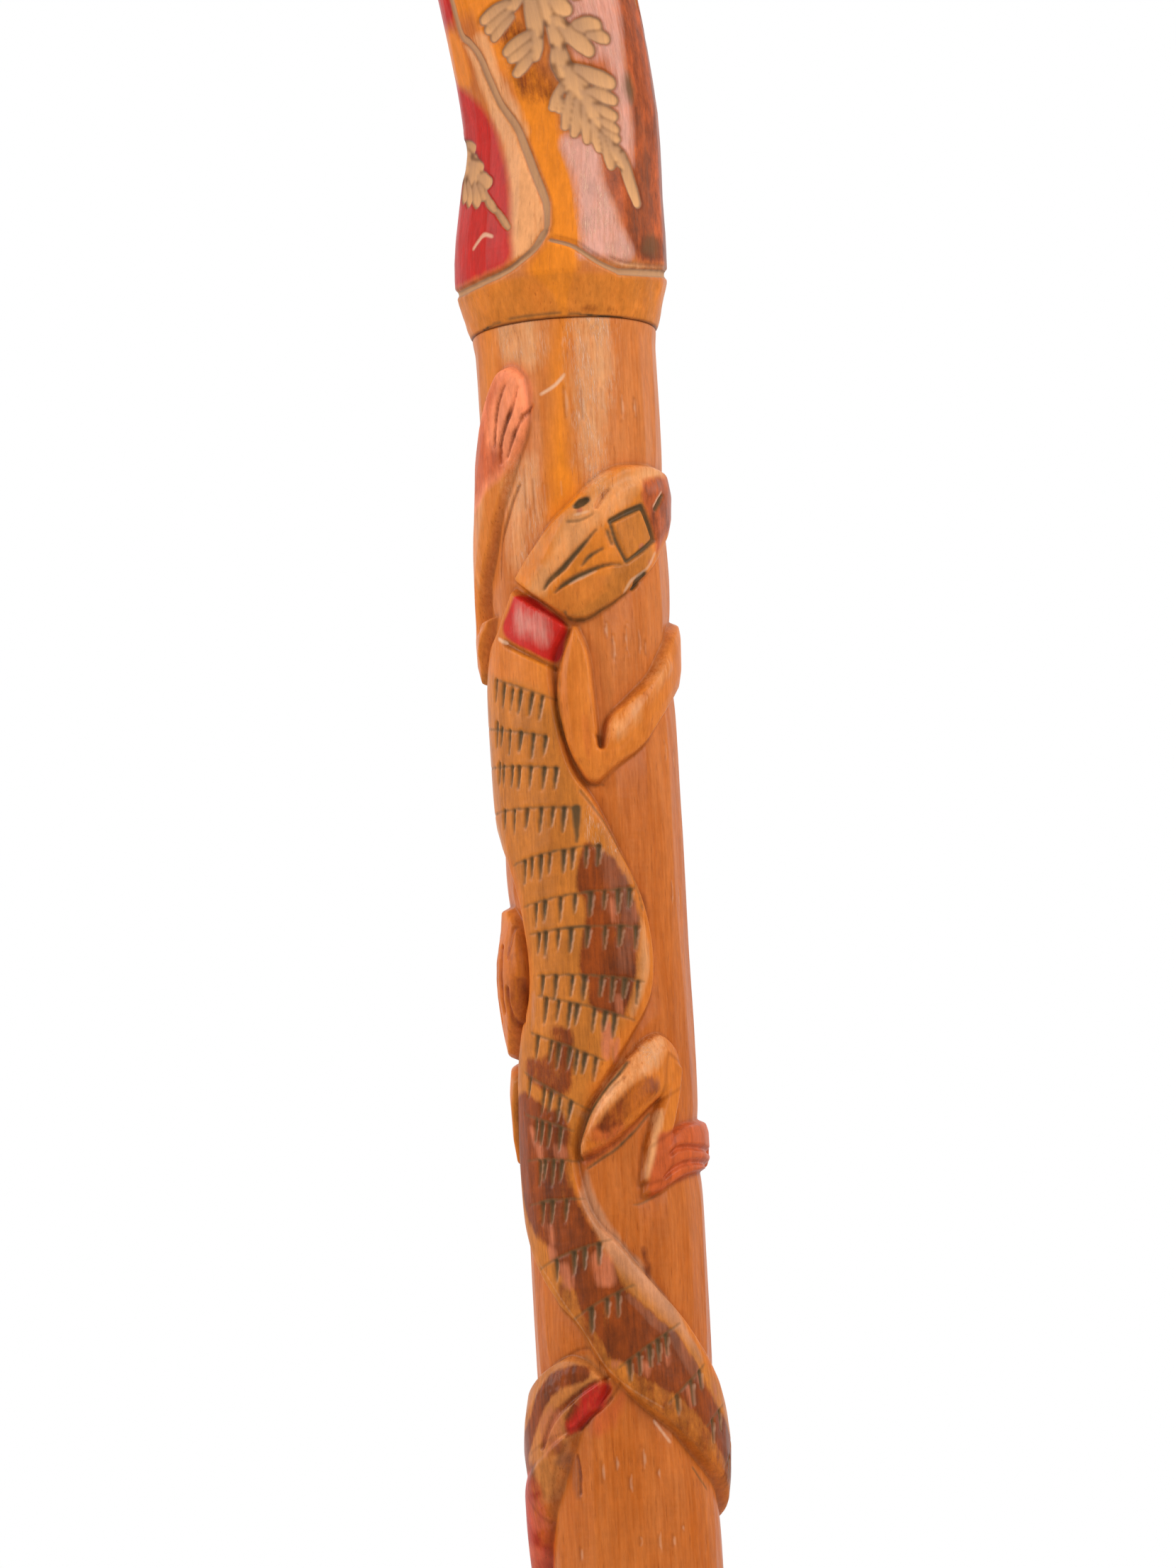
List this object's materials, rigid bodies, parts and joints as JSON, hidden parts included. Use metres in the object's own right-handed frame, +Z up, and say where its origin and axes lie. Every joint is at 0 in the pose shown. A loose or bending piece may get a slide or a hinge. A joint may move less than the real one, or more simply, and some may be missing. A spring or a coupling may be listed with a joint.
{
  "type": "walking stick",
  "caption": "Wooden walking stick with a crook handle, carved and dyed shaft with a lizard and a snake in relief, and a pull-off rubber tip.",
  "frame": {"origin": "middle of the rubber tip's foot, on the ground", "axes": "+Z up along the shaft, the crook towards -X, the lizard's head facing -Y"},
  "size_m": [0.128, 0.035, 0.8904],
  "materials": {
    "dyed_wood": "varnished, with red, purple and brown dyed panels",
    "dowel_wood": "bare turned hardwood",
    "carved_wood": "varnished, knife cut, with dyed animals in relief",
    "tip_rubber": "moulded, matt",
    "washer_steel": "zinc grey"
  },
  "bodies": {
    "stick": {"handle": "dyed_wood", "joint_dowel": "dowel_wood", "shaft": "carved_wood"},
    "tip": {"rubber_tip": "tip_rubber", "tip_washer": "washer_steel"}
  },
  "joints": [
    {"name": "tip_pull_off", "type": "slide", "parent": "stick", "child": "tip", "axis": [0, 0, -1], "range_m": [0, 0.04]}
  ]
}
